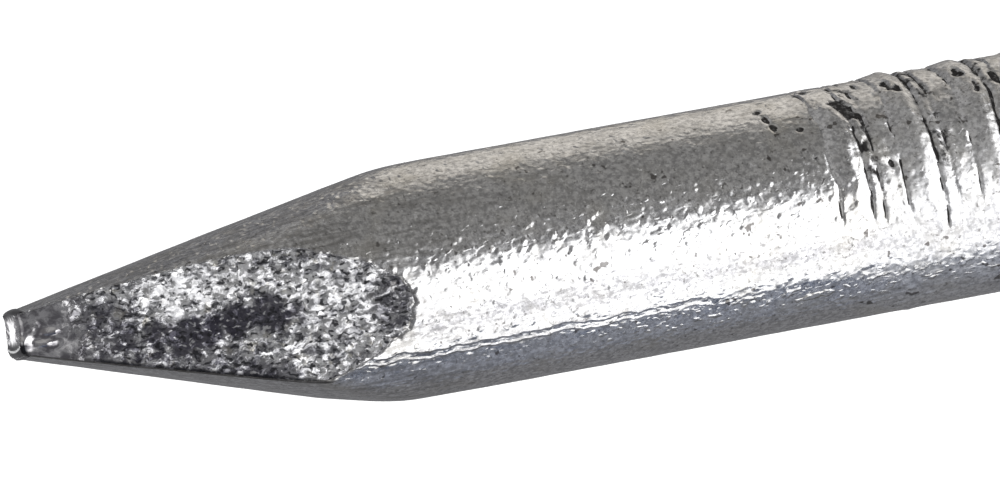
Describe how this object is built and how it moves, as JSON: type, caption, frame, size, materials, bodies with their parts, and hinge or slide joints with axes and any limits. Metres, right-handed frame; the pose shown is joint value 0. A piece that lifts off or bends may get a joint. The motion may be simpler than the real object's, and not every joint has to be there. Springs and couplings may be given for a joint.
{
  "type": "clout nail",
  "caption": "Galvanised clout nail with a large flat round head, gripping-die ridges on the shank and a sheared point.",
  "frame": {"origin": "centre of the head's flat top, where a hammer strikes and where the nail stands", "axes": "+Z along the shank from the head to the point, +X towards the side of the point that tapers less, -Y close to the middle of the front sheared facet"},
  "size_m": [0.0074, 0.0074, 0.0209],
  "materials": {
    "steel": "bare drawn steel: pressed flat on the head's top and sheared rough on the two facets of the point",
    "zinc": "semi-gloss zinc coating with faint drawing lines and small pits"
  },
  "bodies": {
    "root": {"steel_core": "steel", "zinc_coating": "zinc"}
  },
  "joints": []
}
